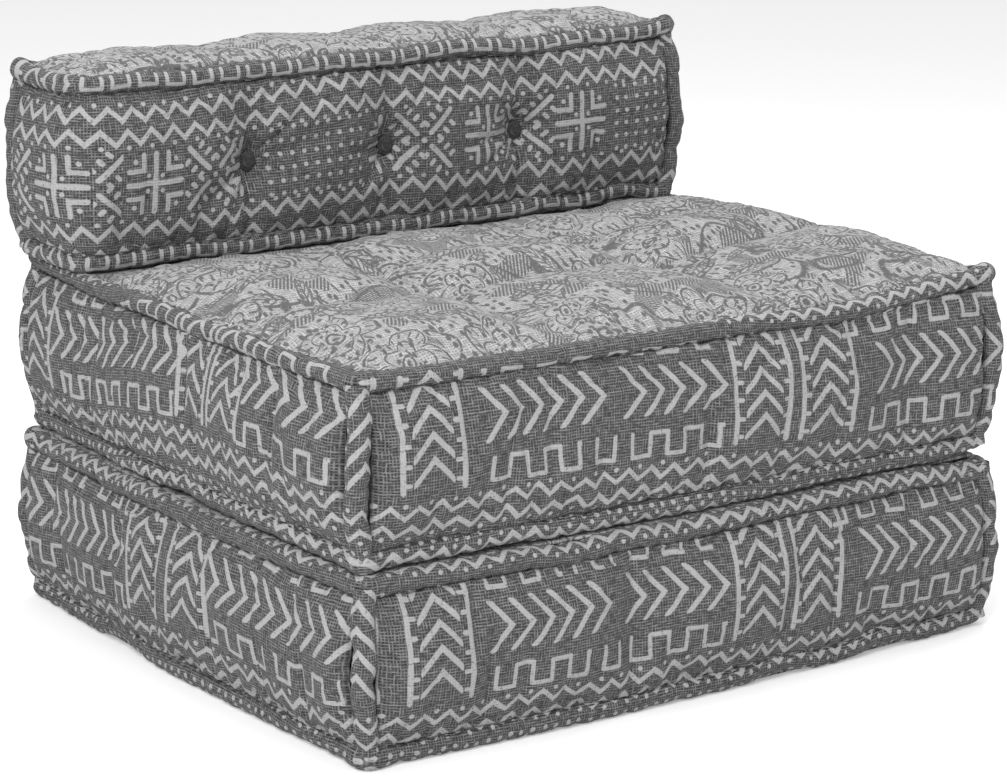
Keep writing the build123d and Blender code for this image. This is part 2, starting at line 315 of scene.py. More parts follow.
def cloth_material(
    name, draw, seed, light=thread_light, dark=thread_dark, ink=print_grey, relief=0.7, wander=3.4 * mm
):
    """Slubby plain weave with a print: draw gets u and v, and returns where the ink lies."""
    material, tree, shader = new_material(
        name, {"Roughness": 0.93, "Specular IOR Level": 0.12, "Sheen Weight": 0.08, "Sheen Roughness": 0.5}
    )
    places = print_map(tree)
    u, v, _ = parts_of(Ink(tree, places))
    tremble = noise(tree, places, 1, 1, (230, 230, 1), (seed, 0, 0), "Color")
    shake_u, shake_v, _ = parts_of(tremble)
    row = (v + (shake_v - 0.5) * thread_shake).near(thread_pitch) * (2 / thread_pitch)
    column = (u + (shake_u - 0.5) * thread_shake).near(thread_pitch) * (2 / thread_pitch)
    weft_slub = noise(tree, places, 1, 1, (120, 560, 1), (seed, 3, 0)).spread(0.34, 0.64)
    warp_slub = noise(tree, places, 1, 1, (560, 130, 1), (seed, 7, 0)).spread(0.38, 0.68)
    weft = (row * -1 + 1.1) * (weft_slub * 0.6 + 0.4)
    warp = (column * -1 + 1.1) * (warp_slub * 0.6 + 0.4)
    weave = weft.most(warp).least(1.0).math("POWER", weave_contrast)
    drift = noise(tree, places, 38, 2.5, shift=(seed * 1.7, 0, 0), output="Color")
    drift_u, drift_v, _ = parts_of(drift)
    pull_u, pull_v, _ = parts_of(noise(tree, places, 11, 1, shift=(0, seed * 1.3, 0), output="Color"))
    printed_u = u + (drift_u - 0.5) * wander + (pull_u - 0.5) * (1.3 * wander)
    printed_v = v + (drift_v - 0.5) * wander + (pull_v - 0.5) * (1.6 * wander)
    inked = draw(printed_u, printed_v)
    wear = noise(tree, places, 340, 2)
    cloth_tone = weave * (light - dark) + dark
    coat = wear.spread(0.22, 0.42) * inked * (weave * 0.22 + 0.80)
    tone = (cloth_tone + (cloth_tone * -1 + ink) * coat).socket
    grey = wire(tree, "ShaderNodeCombineColor", {"Red": tone, "Green": tone, "Blue": tone})
    tree.links.new(grey.outputs[0], shader.inputs["Base Color"])
    height = (weave + inked * 0.25).socket
    bump = wire(tree, "ShaderNodeBump", {"Height": height}, {"Strength": relief, "Distance": weave_depth})
    tree.links.new(bump.outputs[0], shader.inputs["Normal"])
    return material


def border_rows(u, v):
    """The wavering rows above and below the chevrons, which also run over the rolled edges."""
    waver_u, waver_v, _ = parts_of(noise(u.tree, print_map(u.tree), 22, 1, shift=(4, 6, 0), output="Color"))
    u = u + (waver_u - 0.5) * (12 * mm)
    v = v + (waver_v - 0.5) * (11 * mm)
    return most_of(
        dotted_zigzag(u, v, -70 * mm, True, False),
        dotted_zigzag(u + 5 * mm, v, -87 * mm, False, True, width=4.2 * mm),
        dot_row(u, v, -104 * mm, 12 * mm, 2.3 * mm),
        dotted_zigzag(u, v, -117 * mm, True, True, width=4.4 * mm),
        dotted_zigzag(u + 9 * mm, v, 72 * mm, True, True, width=4.3 * mm),
        zigzag(u, v, 88 * mm, 23.4 * mm, 9 * mm, 5 * mm),
    )


def seat_print(columns, pointed, low_teeth, high_teeth):
    """Print of a seat's side: rows of zigzag, teeth and chevrons between ladder columns."""

    def draw(u, v):
        return most_of(
            border_rows(u, v),
            teeth(u, v, -44.5 * mm, 19 * mm, 36 * mm, 128 * mm, low_teeth),
            chevrons(u, v, pointed),
            teeth(u, v, 38.5 * mm, 15 * mm, 37 * mm, 122 * mm, high_teeth, 3.8 * mm),
            ladders(u, v, columns),
        )

    return draw


def spans(*ends):
    """Windows from a row of starts and ends in millimetres."""
    return [(start * mm, end * mm) for start, end in zip(ends[::2], ends[1::2])]


front_cloth = cloth_material(
    "front_cloth",
    seat_print(
        [-9 * mm, 71.5 * mm, 404 * mm, 474 * mm],
        spans(131, 252.6, 273, 374.5, 537, 700),
        spans(126, 221, 234, 256, 270, 366, 522, 690),
        spans(118, 200, 212, 243, 251, 357, 503, 690),
    ),
    1,
)
upper_side_cloth = cloth_material(
    "upper_side_cloth",
    seat_print(
        [28 * mm, 326 * mm, 392 * mm],
        spans(71, 212, 223, 314, 417, 558),
        spans(72, 128, 142, 202, 214, 294, 422, 545),
        spans(70, 150, 162, 292, 424, 543),
    ),
    2,
)
lower_side_cloth = cloth_material(
    "lower_side_cloth",
    seat_print(
        [238 * mm, 316 * mm],
        spans(-20, 213, 356, 558),
        spans(-20, 76, 88, 206, 350, 434, 448, 542),
        spans(-20, 94, 106, 204, 352, 452, 462, 541),
    ),
    3,
)
border_cloth = cloth_material("border_cloth", border_rows, 4)

# Side bands of the seat cushions
# Each is a strip of the printed cotton, cut long and sewn under the rolled edges over a layer of wadding.
# The stuffing pushes it out, also at the corners, and its seams hold it back in puckers. Each kind of pucker
# has its pitch, its reach and its depth.
cloth_cell = 3.2 * mm
cloth_depth = 2.5 * mm
seam_depth = 6.5 * mm
band_swell = 13.5 * mm
high_puckers = 0.026, 0.018, 0.0055
low_puckers = 0.028, 0.022, 0.0060
end_puckers = 0.027, 0.016, 0.003
deepest_pucker = 3.5 * mm
stuffed = []
corner_hands = [(-1, -1), (1, -1), (1, 1), (-1, 1)]


def eased(share):
    """A share from 0 to 1 that starts and ends gently."""
    return share * share * (3 - 2 * share)


class Cushion:
    """One cushion's own measures, in metres, and how the print lies on its sides, in millimetres."""

    def __init__(self, name, half_length, half_width, middle, rolls, bow_share, corner_swell, near_shift, laid):
        self.name = name
        self.body = f"{name}_cushion"
        self.half_length = half_length
        self.half_width = half_width
        self.middle_x, self.middle_y = middle
        self.roll, self.top_roll = rolls
        self.bow_share = bow_share
        self.corner_swell = corner_swell
        self.near_shift = near_shift
        self.right_lift = 7 * mm if name == "upper" else 0
        self.laid = laid
        self.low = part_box(f"{name}_bottom_roll")[0].z
        self.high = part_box(f"{name}_top_roll")[1].z
        self.low_seam = self.low + 1.75 * self.roll
        self.high_seam = self.high - 1.75 * self.top_roll

    def corner(self, x_hand, y_hand):
        """Where a corner lies in plan: the near one may be pulled out of square."""
        near = (x_hand < 0) * (y_hand < 0)
        x = self.middle_x + x_hand * self.half_length + near * self.near_shift[0]
        return np.array([x, self.middle_y + y_hand * self.half_width + near * self.near_shift[1]])

    def raised(self, x, y):
        """How much higher the upper cushion's right end stands, in front of the back cushion."""
        along = np.clip((x - 0.16) / 0.14, 0, 1)
        behind = np.clip((y - 0.08) / 0.07, 0, 1)
        return self.right_lift * eased(along) * (1 - eased(behind))

    def raise_sides(self, points):
        """Raise the points of a side with the end of the top, less and less towards the floor."""
        height_share = (points[:, :, 2] - self.low) / (self.high - self.low)
        points[:, :, 2] += self.raised(points[:, :, 0], points[:, :, 1]) * height_share ** 2

    def edge(self, side, share, inset):
        """Points along one bowed side, from its left end to its right end seen from outside."""
        hands = np.array([corner_hands[side], corner_hands[(side + 1) % 4]])
        start, end = [self.corner(*hand) - inset * hand for hand in hands]
        outward = np.array([(0, -1), (1, 0), (0, 1), (-1, 0)][side], float)
        length = np.linalg.norm(end - start)
        share = np.asarray(share)[:, None]
        points = start + (end - start) * share + outward * (length * self.bow_share * 4 * share * (1 - share))
        return points, np.tile(outward, (len(points), 1))

    def corner_bulge(self, level):
        """How far the corners stand out at a level between the rolls."""
        share = np.clip((level - self.low_seam) / (self.high_seam - self.low_seam), 0, 1)
        return self.corner_swell * (4 * share * (1 - share)) ** 0.8

    def side_length(self, side):
        return 2 * (self.half_width if side % 2 else self.half_length)

    def print_places(self, side, u, level):
        """Where the places of a side lie on the cloth, which was sewn on a little stretched and askew."""
        at, slide, height = np.array(self.laid[side % 2]).T * mm
        row = level - self.low - np.interp(u, at, height)
        return np.stack(np.broadcast_arrays(u + np.interp(u, at, slide), row), 2)


lower_laid = (
    ((0, 9, 112.5), (95, 5, 106.3), (150, 9.4, 107), (203, 11, 106.5), (258, 11.5, 105), (310, 14, 107),
     (366, 12.5, 104.5), (420, 13.8, 102.3), (475, 15.5, 101.6), (510, 16, 101.2), (540, 21, 101), (583, 18.8, 99.6),
     (650, 22, 100.5)),
    ((0, -30, 101), (82, -40, 106), (129, -42, 106), (176, -38, 106), (223, -20.5, 103), (270, -18, 108),
     (316, -17, 113), (344, -21, 114.5), (380, -26, 114.5), (410, -27.5, 114), (457, -28, 112), (504, -25, 106),
     (551, -29, 110), (586, -30, 111)),
)
upper_laid = (
    ((0, 10.5, 122), (93, 9.5, 118.6), (146, 10.5, 118), (250, 16.3, 117), (305, 18.9, 115.5), (359, 13.2, 112.8),
     (412, 13.5, 107), (465, 11, 104.5), (518, 10, 101.8), (571, 13, 99.5), (640, 18, 98)),
    ((0, -16, 107), (100, -15, 108), (128, -17, 109), (175, -17, 113.5), (221, -11, 123), (268, -9, 128.5),
     (326, -9, 131.5), (361, -7.5, 135), (407, 0, 134), (430, 1.5, 132.5), (460, 4, 131.5), (500, -4, 126.5),
     (545, -16, 129), (582, -20, 129)),
)
back_front_laid = ((0, -11, 80), (95, -10.5, 80.5), (147, -11, 82), (250, -9, 88), (360, -11, 90), (414, -9.5, 89.5),
                   (460, -10, 88.5), (521, -10.5, 90.5), (574, -9.8, 92), (650, -9.5, 93))
back_laid = (back_front_laid, back_front_laid)
lower = Cushion("lower", 0.339, 0.293, (0, 0), (0.010, 0.010), 0.020, 0.007, (0, 0), lower_laid)
upper = Cushion("upper", 0.332, 0.291, (0.002, 0), (0.010, 0.0084), 0.012, 0.009, (-0.009, 0.003), upper_laid)
back = Cushion("back", 0.334, 0.0605, (-0.007, 0.2305), (0.009, 0.009), 0.006, 0.008, (0, 0), back_laid)


def ripple(x, y, wavelength, seed):
    """Smooth uneven field between about -1 and 1, made of a dozen waves."""
    rng = np.random.default_rng(seed)
    total = np.zeros(np.broadcast(x, y).shape)
    for _ in range(12):
        angle, phase = rng.uniform(0, 2 * math.pi, 2)
        turn = 2 * math.pi / (wavelength * rng.uniform(0.7, 1.6))
        total += np.sin(turn * (x * math.cos(angle) + y * math.sin(angle)) + phase)
    return total / 5


def puckers(along, away, pitch, reach, depth, seed):
    """Small folds that run in from a seam, sharp in their valleys, and fade away from it."""
    wave = along + ripple(along, 0 * along, 0.09, seed) * pitch * 0.5
    fold = np.abs(np.sin(math.pi * wave / pitch)) ** 0.6
    strength = 0.55 + 0.45 * ripple(along, 0 * along, 0.07, seed + 1)
    return -depth * (1 - fold) * np.clip(strength, 0, 1.3) * np.exp(-away / reach)


def star_folds(dx, dy, count, reach, depth, seed):
    """Folds that run out from a tuft on all sides."""
    radius = np.hypot(dx, dy)
    angle = np.arctan2(dy, dx)
    rng = np.random.default_rng(seed)
    bend = 0.5 * np.sin(2 * angle + rng.uniform(0, 6)) + 0.35 * np.sin(3 * angle + rng.uniform(0, 6))
    fold = np.abs(np.sin(count / 2 * angle + bend + rng.uniform(0, 3))) ** 0.7
    uneven = 0.7 + 0.3 * np.sin(angle + rng.uniform(0, 6))
    return -depth * (1 - fold) * uneven * (1 - np.exp(-((radius / 0.012) ** 2))) * np.exp(-radius / reach)


def grid_piece(name, points, print_places, material):
    """Mesh over a grid of points, with a whole-square bake map and a print map in metres."""
    rows, columns = points.shape[:2]
    corner = np.arange(rows * columns).reshape(rows, columns)
    quads = np.stack([corner[:-1, :-1], corner[:-1, 1:], corner[1:, 1:], corner[1:, :-1]], 2).reshape(-1, 4)
    mesh = bpy.data.meshes.new(name)
    mesh.from_pydata(points.reshape(-1, 3).tolist(), [], quads.tolist())
    used = quads.ravel()
    bake = mesh.uv_layers.new(name="OFBake")
    share = np.stack([(used % columns) / (columns - 1), (used // columns) / (rows - 1)], 1)
    bake.data.foreach_set("uv", share.ravel())
    print_layer = mesh.uv_layers.new(name="Print")
    print_layer.data.foreach_set("uv", print_places.reshape(-1, 2)[used].ravel())
    mesh.polygons.foreach_set("use_smooth", [True] * len(mesh.polygons))
    mesh.materials.append(material)
    piece = bpy.data.objects.new(name, mesh)
    bpy.context.scene.collection.objects.link(piece)
    return piece


def stuff(piece, points, held, slack, push, cap):
    """Mark a piece to be filled out: where it is held, how much cloth it has to spare and how far it may move."""
    group = piece.vertex_groups.new(name="sewn")
    group.add(np.flatnonzero(held.ravel() > 0.5).tolist(), 1, "REPLACE")
    cloth = piece.modifiers.new("stuffing", "CLOTH")
    settings = cloth.settings
    settings.vertex_group_mass = "sewn"
    settings.quality = 6
    settings.mass = 0.12
    settings.tension_stiffness = 22
    settings.compression_stiffness = 14
    settings.shear_stiffness = 6
    settings.bending_stiffness = 0.25
    settings.tension_damping = 12
    settings.compression_damping = 12
    settings.air_damping = 3
    settings.shrink_min = -slack
    settings.use_pressure = True
    settings.uniform_pressure_force = push
    settings.effector_weights.gravity = 0
    cloth.collision_settings.use_collision = False
    cloth.collision_settings.use_self_collision = False
    cloth.point_cache.frame_start = 1
    cloth.point_cache.frame_end = 24
    stuffed.append((piece, points.reshape(-1, 3).copy(), cap))


def sewn_edges(rows, columns):
    """A grid's border, where its cloth is held by the seams."""
    held = np.zeros((rows, columns))
    held[0, :] = held[-1, :] = held[:, 0] = held[:, -1] = 1
    return held


def swelling(cushion, u, level, seed):
    """How far a strip's cloth stands out: swelling between its seams, held back in puckers and at its ends."""
    share = (level - cushion.low_seam) / (cushion.high_seam - cushion.low_seam)
    rise = (4 * share * (1 - share)).clip(0, 1) ** 0.55
    from_end = np.minimum(u - u.min(), u.max() - u)
    ends = 1 - np.exp(-from_end / 0.006)
    from_low = level - cushion.low_seam
    from_high = cushion.high_seam - level
    out = -seam_depth + band_swell * rise * (0.35 + 0.65 * ends)
    near_end = np.exp(-((from_end / 0.045) ** 2))
    out = out + cushion.corner_bulge(level) * near_end * (0.55 + 0.45 * ends)
    out = out + ripple(u, level, 0.15, seed) * 0.0020 * rise + ripple(u, level, 0.06, seed + 9) * 0.0010 * rise
    out = out + puckers(u, from_high, *high_puckers, seed + 2) + puckers(u, from_low, *low_puckers, seed + 4)
    out = out + puckers(level, from_end + 0 * level, *end_puckers, seed + 6)
    crease = ripple(u, 0 * u, 0.16, seed + 7) * 0.007
    fold = level - (cushion.high_seam - 0.020 + crease)
    out = out - 0.0030 * np.exp(-((fold / 0.0035) ** 2)) * np.clip(ripple(u, 0 * u, 0.22, seed + 8) + 0.1, 0, 1)
    return np.maximum(out, -seam_depth - deepest_pucker)


def strip_points(line, outward, out, level):
    """Points of a strip that stands out from a line by some depth at each level."""
    points = np.zeros((*level.shape, 3))
    points[:, :, 0] = line[None, :, 0] + outward[None, :, 0] * out
    points[:, :, 1] = line[None, :, 1] + outward[None, :, 1] * out
    points[:, :, 2] = level
    return points


def band(cushion, side, material):
    """One side band, from corner roll to corner roll and from the lower roll to the upper."""
    length = cushion.side_length(side)
    end_inset = 1.1 * cushion.roll
    columns = int(length / cloth_cell)
    rows = int((cushion.high_seam - cushion.low_seam) / cloth_cell)
    share = np.linspace(end_inset / length, 1 - end_inset / length, columns)
    line, outward = cushion.edge(side, share, 0)
    u = np.broadcast_to((share * length)[None, :], (rows, columns))
    level = np.broadcast_to(np.linspace(cushion.low_seam, cushion.high_seam, rows)[:, None], (rows, columns))
    seed = 20 * side + (0 if cushion is upper else 200)
    points = strip_points(line, outward, swelling(cushion, u, level, seed), level)
    cushion.raise_sides(points)
    places = cushion.print_places(side, u, level)
    node = f"{cushion.name}_{('front', 'right', 'rear', 'left')[side]}_band"
    piece = grid_piece(f"{node}_cloth", points, places, material)
    stuff(piece, points, sewn_edges(rows, columns), slack=0.03, push=3.0, cap=6 * mm)
    return piece, node


seat_bands = []
for seat, side_cloth in ((lower, lower_side_cloth), (upper, upper_side_cloth)):
    for side in range(4):
        seat_bands.append((seat, *band(seat, side, side_cloth if side % 2 else front_cloth)))

# Rolled edges
# The cloth is rolled over a core of wadding and sewn through by hand, which leaves a plump edge that pinches
# in at each stitch and stands out at the corners as small ears. Its seams are kept for the stitches.
roll_sides = 24
roll_step = 3.0 * mm
stitch_pitch = 26 * mm
ear_reach = 19 * mm


seam_lines = {"lower_cushion": [], "upper_cushion": [], "back_cushion": []}


def lobes(run, seed, pitch=stitch_pitch):
    """How plump a roll is along its run, from 0 at each stitch to 1 between two."""
    rng = np.random.default_rng(seed)
    gaps = pitch * rng.uniform(0.65, 1.4, int((run[-1] - run[0]) / pitch * 1.6) + 6)
    knots = np.cumsum(gaps) + run[0] - 1.6 * pitch
    place = np.searchsorted(knots, run)
    share = (run - knots[place - 1]) / (knots[place] - knots[place - 1])
    return np.sin(math.pi * share) ** 0.5


def smoothed(line, times):
    """A closed line with its corners worn round."""
    for _ in range(times):
        line = (np.roll(line, 1, 0) + 2 * line + np.roll(line, -1, 0)) / 4
    return line


def rolled_edge(cushion, high, node, seed, scallop, ear_lift, ear_out, clear, side_cloths):
    """Plump hand-sewn roll round a cushion: how deep its scallops are, and how its ears stand up and out."""
    thick = cushion.top_roll if high else cushion.roll
    centre, local, side_of = [], [], []
    for side in range(4):
        count = int(cushion.side_length(side) / roll_step)
        share = np.linspace(0, 1, count, endpoint=False)
        line, _ = cushion.edge(side, share, thick)
        centre.append(line)
        local.append(share * cushion.side_length(side))
        side_of.append(np.full(count, side))
    plan, local, side_of = np.concatenate(centre), np.concatenate(local), np.concatenate(side_of)
    plan = smoothed(plan, 4)
    if cushion is back:
        rounded = smoothed(plan, int(2 * (15 * mm / roll_step) ** 2))
        for hand in (-1, 1):
            away = np.linalg.norm(plan - cushion.corner(hand, hand), axis=1)
            plan = plan + np.exp(-((away / 0.06) ** 4))[:, None] * (rounded - plan)
    nearness = np.zeros(len(plan))
    for count, (x_hand, y_hand) in enumerate(corner_hands):
        away = np.linalg.norm(plan - cushion.corner(x_hand, y_hand), axis=1)
        near = np.exp(-((away / ear_reach) ** 2))
        plan = plan + near[:, None] * np.array([x_hand, y_hand])[None, :] * ear_out[count]
        nearness += near * (1 if ear_out[count] > 0.004 else 0.3)
    run = np.concatenate([[0], np.cumsum(np.linalg.norm(np.diff(plan, axis=0), axis=1))])
    plump = lobes(run, seed)
    tangent = np.roll(plan, -1, 0) - np.roll(plan, 1, 0)
    tangent /= np.linalg.norm(tangent, axis=1)[:, None]
    outward = np.column_stack([tangent[:, 1], -tangent[:, 0]])
    turn = np.linspace(0, 2 * math.pi, roll_sides + 1)[None, :]
    closing = np.sin(math.pi * run / run[-1]) ** 0.5
    sway = ripple(run, 0 * run, 0.11, seed + 1) * 0.0018 * closing
    lift = ripple(run, 0 * run, 0.13, seed + 2) * 0.0044 * closing
    lift = {"up": np.maximum(lift, 0) * 1.6, "down": np.minimum(lift, 0) * 1.4, "free": lift}[clear]
    radius = thick * (1.02 - scallop + scallop * plump + 0.28 * nearness)
    wrinkles = ripple(run[:, None] + turn * 0.003, turn * 0.004, 0.011, seed + 3) * closing[:, None]
    reach = radius[:, None] * (1 + wrinkles * (0.045 + 0.10 * (1 - plump[:, None])))
    out = np.cos(turn) * reach + sway[:, None]
    up = np.sin(turn) * reach + lift[:, None] + nearness[:, None] * ear_lift
    level = cushion.high - thick if high else cushion.low + thick
    points = np.zeros((len(run), roll_sides + 1, 3))
    points[:, :, 0] = plan[:, None, 0] + outward[:, None, 0] * out
    points[:, :, 1] = plan[:, None, 1] + outward[:, None, 1] * out
    points[:, :, 2] = level + up + (cushion.raised(points[:, :, 0], points[:, :, 1]) if high else 0)
    if clear == "up":
        points[:, :, 2] = np.maximum(points[:, :, 2], cushion.low + 0.2 * mm)
    if clear == "down":
        points[:, :, 2] = np.minimum(points[:, :, 2], cushion.high - 0.2 * mm)
    points = np.concatenate([points, points[:1]])
    rolled = (np.where(turn > math.pi, turn - 2 * math.pi, turn) + (1.4 if high else -0.3)) * thick
    rolled = rolled + (ripple(run, 0 * run, 0.16, seed + 5) * closing * 4 * mm)[:, None]
    rolled = np.concatenate([rolled, rolled[:1]])
    local = np.concatenate([local, [local[-1] + roll_step]])[:, None]
    side_of = np.concatenate([side_of, [3]])
    places = np.zeros((*points.shape[:2], 2))
    for side in range(4):
        on_side = side_of == side
        places[on_side] = cushion.print_places(side, local[on_side], level + rolled[on_side])
    panel_side, band_side = (8, 21) if high else (16, 3)
    seam_lines[cushion.body] += [points[:-1, panel_side], points[:-1, band_side]]
    piece = grid_piece(f"{node}_cloth", points, places, side_cloths[0])
    piece.data.materials.append(side_cloths[1])
    piece.data.polygons.foreach_set("material_index", np.repeat(side_of[:-1] % 2, roll_sides))
    return piece


roll_kinds = (
    (lower, False, 0.16, 0.0, (0.007, 0.004, 0.003, 0.004), "up"),
    (lower, True, 0.17, 0.0, (0.004, 0.005, 0.003, 0.009), "down"),
    (upper, False, 0.20, 0.0, (0.005, 0.004, 0.003, 0.009), "up"),
    (upper, True, 0.15, 0.008, (0.002, 0.009, 0.004, 0.008), "free"),
    (back, False, 0.16, 0.0, (0.001, 0.004, 0.001, 0.004), "up"),
    (back, True, 0.18, 0.010, (0.001, 0.007, 0.002, 0.007), "free"),
)
rolls = []
for kind, (seat, high, scallop, ear_lift, ear_out, clear) in enumerate(roll_kinds):
    node = f"{seat.name}_{'top' if high else 'bottom'}_roll"
    cloths = (front_cloth, lower_side_cloth if seat is lower else upper_side_cloth)
    piece = rolled_edge(seat, high, node, kind * 17 + 3, scallop, ear_lift, ear_out, clear, cloths)
    rolls.append((seat, piece, node))


def upright_rolls(cushion, hands, seed):
    """Upright rolls at a cushion's sewn corners, bowed out between the lower and the upper rolled edge."""
    made = []
    for count, (x_hand, y_hand) in enumerate(hands):
        low, high = cushion.low + 0.9 * cushion.roll, cushion.high - 0.9 * cushion.top_roll
        height = np.linspace(low, high, int((high - low) / roll_step))
        plump = lobes(height, seed + count)
        sway = ripple(height, 0 * height, 0.05, seed + count + 3) * 0.0014
        bulge = cushion.corner_bulge(height)
        turn = np.linspace(0, 2 * math.pi, roll_sides + 1)[None, :]
        radius = cushion.roll * (0.84 + 0.18 * plump)
        corner_x, corner_y = cushion.corner(x_hand, y_hand)
        x = corner_x + x_hand * (bulge - 0.85 * cushion.roll) + sway
        y = corner_y + y_hand * (bulge - 0.85 * cushion.roll) - sway
        wrinkles = ripple(height[:, None] + turn * 0.003, turn * 0.004, 0.011, seed + count + 6)
        reach = radius[:, None] * (1 + wrinkles * (0.04 + 0.06 * (1 - plump[:, None])))
        points = np.stack(
            [x[:, None] + np.cos(turn) * reach, y[:, None] + np.sin(turn) * reach, height[:, None] + 0 * reach], 2
        )
        cushion.raise_sides(points)
        facing = math.atan2(y_hand, x_hand)
        around = ((turn - facing + math.pi) % (2 * math.pi) - math.pi) * cushion.roll
        side = 0 if y_hand < 0 else 1
        start = (-30 * mm if cushion is upper else -14 * mm) if x_hand * y_hand > 0 else 660 * mm
        places = cushion.print_places(side, start + around + 0 * reach, height[:, None] + 0 * reach)
        material = front_cloth if cushion is not back else border_cloth
        made.append(grid_piece(f"{cushion.name}_corner_roll_cloth_{count + 1}", points, places, material))
    return made


corner_pieces = [(seat, upright_rolls(seat, corner_hands, 31 + 40 * (seat is upper))) for seat in (lower, upper)]
corner_pieces.append((back, upright_rolls(back, [(1, -1), (-1, 1)], 131)))

# Back cushion's printed strips
# Two strips of the cotton go round the back cushion. Each runs along one long face and turns round an end
# without a seam, and three buttons on each long face are tied through to their pairs.
back_corner = 34 * mm
back_columns = (-160 * mm, -10 * mm, 140 * mm)
button_radius = 10 * mm
back_folds = 11, 0.034, 0.009


def back_path(flip):
    """Line of a strip from its sewn end along the short end and the long face, with distance and outward way."""
    half_x, half_y = back.half_length, back.half_width
    end_inset = 1.1 * back.roll
    side = np.arange(half_y * 2 - end_inset - back_corner, 0, -cloth_cell)
    side_points = np.column_stack([np.full(len(side), -half_x), -half_y + back_corner + side])
    bend = np.linspace(0, math.pi / 2, int(back_corner * 1.57 / cloth_cell))
    bend_points = np.column_stack([
        -half_x + back_corner - back_corner * np.cos(bend),
        -half_y + back_corner - back_corner * np.sin(bend),
    ])
    front = np.arange(cloth_cell, 2 * half_x - end_inset - back_corner, cloth_cell)
    front_points = np.column_stack([-half_x + back_corner + front, np.full(len(front), -half_y)])
    points = np.concatenate([side_points, bend_points, front_points])
    outward = np.concatenate([
        np.tile((-1.0, 0.0), (len(side), 1)),
        np.column_stack([-np.cos(bend), -np.sin(bend)]),
        np.tile((0.0, -1.0), (len(front), 1)),
    ])
    run = np.concatenate([[0], np.cumsum(np.linalg.norm(np.diff(points, axis=0), axis=1))])
    u = run - run[len(side) + len(bend) // 2]
    across = points[:, 0] / (2 * half_x)
    bow = 4 * np.clip(0.5 + across, 0, 1) * np.clip(0.5 - across, 0, 1)
    points[:, 1] -= bow * 0.004 * (points[:, 1] < 0)
    x = points[:, 0].copy()
    if flip:
        points, outward, x = -points, -outward, -x
    return points + (back.middle_x, back.middle_y), outward, u, x + back.middle_x


def back_print(u, v):
    """Zigzags above and below a row of crosses, diagonal crosses and dot patches."""
    diagonal = saltires(u, v, 0, [-96 * mm, -4 * mm, 115 * mm, 345 * mm, 467 * mm])
    return most_of(
        *[
            dotted_zigzag(u + shift * mm, v, middle * mm, above, not above, 11.5 * mm, 4.1 * mm, 23 * mm)
            for shift, middle, above in ((0, 62, True), (7, 42, False), (0, -42, True), (9, -64, False))
        ],
        teeth(u, v, -86 * mm, 13 * mm, 40 * mm, 4 * mm, spans(-120, 660), 3.8 * mm),
        crosses(u, v, 0, [-32 * mm, 54 * mm, 415 * mm, 526 * mm]),
        crosses(u, v, 0, [162 * mm, 312 * mm]).least(u.inside(spans(120, 160, 270, 310))),
        diagonal.least(u.inside(spans(-200, -66, -2, 22, 84, 700))),
        dot_patch(u, v, 6 * mm, spans(175.6, 281, 563, 668)),
    )


back_cloth = cloth_material("back_cloth", back_print, 5)
back_strips = []
for flip, node in ((False, "back_front_and_left_band"), (True, "back_rear_and_right_band")):
    line, outward, u, x = back_path(flip)
    rows = int((back.high_seam - back.low_seam) / cloth_cell)
    shape = (rows, len(u))
    level = np.broadcast_to(np.linspace(back.low_seam, back.high_seam, rows)[:, None], shape)
    run = np.broadcast_to(u[None, :], shape)
    out = swelling(back, run, level, 61 + 30 * flip)
    held = sewn_edges(*shape)
    middle = (back.low_seam + back.high_seam) / 2 - 3 * mm
    on_face = np.broadcast_to((np.abs(outward[:, 1]) > 0.99)[None, :], shape)
    for count, tuft in enumerate(back_columns):
        dx, dz = x[None, :] - tuft + 0 * level, level - middle
        away = np.hypot(dx, dz)
        from_fold = np.abs(dx + ripple(level, 0 * level, 0.09, 5 + count) * 0.004)
        valley = np.exp(-from_fold / 0.012)
        dent = 0.0075 * valley + 0.008 * np.exp(-((away / 0.045) ** 2))
        dent = dent + 0.009 * np.exp(-((away / 0.021) ** 3))
        out = out - on_face * (dent - star_folds(dx, dz, *back_folds, 7 + count + 5 * flip))
        held[((away < button_radius) | (from_fold < 0.6 * cloth_cell)) & on_face] = 1
    points = strip_points(line, outward, out, level)
    places = back.print_places(0, run, level)
    piece = grid_piece(f"{node}_cloth", points, places, back_cloth)
    stuff(piece, points, held, slack=0.04, push=3.0, cap=6 * mm)
    back_strips.append((piece, node))


def square_rows(u, v):
    """Open squares in a row along the back cushion's rolls."""
    away = u.near(28.5 * mm)
    sides = abs(away - 9 * mm).span(abs(v).past(5.5 * mm)).within(1.9 * mm)
    foot = (v + 5.5 * mm).span(away.past(9 * mm)).within(1.9 * mm)
    high_dots = dot_row(u, v, 15 * mm, 28.5 * mm, 2.3 * mm, 14 * mm)
    return most_of(sides, foot, high_dots, dot_row(u, v, -15 * mm, 20 * mm, 2.3 * mm))


# The squares keep to the middle of each roll, whatever the way the strip between the rolls is laid.
square_cloth = cloth_material("square_cloth", square_rows, 8)
for seat, piece, node in rolls:
    if seat is back:
        piece.data.materials[0] = square_cloth
        layer = piece.data.uv_layers["Print"].data
        print_places = np.empty(len(layer) * 2)
        layer.foreach_get("uv", print_places)
        print_places = print_places.reshape(-1, 2)
        at, slide, height = np.array(back_front_laid).T * mm
        local = print_places[:, 0]
        for _ in range(4):
            local = print_places[:, 0] - np.interp(local, at, slide)
        above = back.high - back.low if node == "back_top_roll" else 0
        print_places[:, 1] += np.interp(local, at, height) - above - 0.7 * back.roll
        layer.foreach_set("uv", print_places.ravel())

